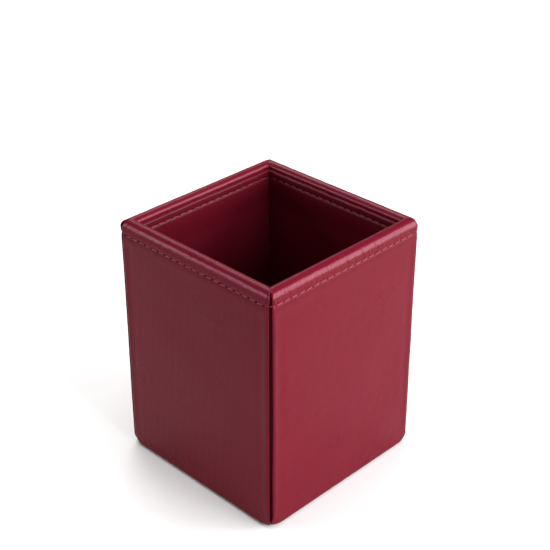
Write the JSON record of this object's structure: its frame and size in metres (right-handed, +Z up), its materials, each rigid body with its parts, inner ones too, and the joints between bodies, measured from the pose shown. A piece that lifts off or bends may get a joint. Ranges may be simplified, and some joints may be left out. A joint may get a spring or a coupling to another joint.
{
  "type": "pen holder cup",
  "caption": "Square leather-covered desk cup for pens, open at the top, with a stitched rolled rim, open corner seams and a felt base.",
  "frame": {"origin": "middle of the underside of the felt base, on the surface that the cup stands on", "axes": "+Z up through the open mouth; the front wall faces -Y and the right wall faces +X"},
  "size_m": [0.0806, 0.0806, 0.103],
  "materials": {
    "outer_leather": "smooth burgundy leather, semi-gloss",
    "lining_leather": "fine-grained burgundy lining leather, satin",
    "seam_strip": "near-black burgundy leather, matt",
    "thread": "waxed burgundy sewing thread",
    "board": "dense grey binder's board",
    "card": "thin grey card",
    "felt": "black felt"
  },
  "bodies": {
    "root": {"wall_board_front": "board", "wall_board_right": "board", "wall_board_back": "board", "wall_board_left": "board", "base_board": "board", "corner_strip_front_right": "seam_strip", "corner_strip_back_right": "seam_strip", "corner_strip_back_left": "seam_strip", "corner_strip_front_left": "seam_strip", "outer_panel_front": "outer_leather", "outer_panel_right": "outer_leather", "outer_panel_back": "outer_leather", "outer_panel_left": "outer_leather", "lining_panel_front": "lining_leather", "lining_panel_right": "lining_leather", "lining_panel_back": "lining_leather", "lining_panel_left": "lining_leather", "rim_thread_outer_front": "thread", "rim_thread_inner_front": "thread", "rim_thread_outer_right": "thread", "rim_thread_inner_right": "thread", "rim_thread_outer_back": "thread", "rim_thread_inner_back": "thread", "rim_thread_outer_left": "thread", "rim_thread_inner_left": "thread", "floor_card": "card", "floor_lining": "lining_leather", "base_infill_card": "card", "base_felt": "felt"}
  },
  "joints": []
}
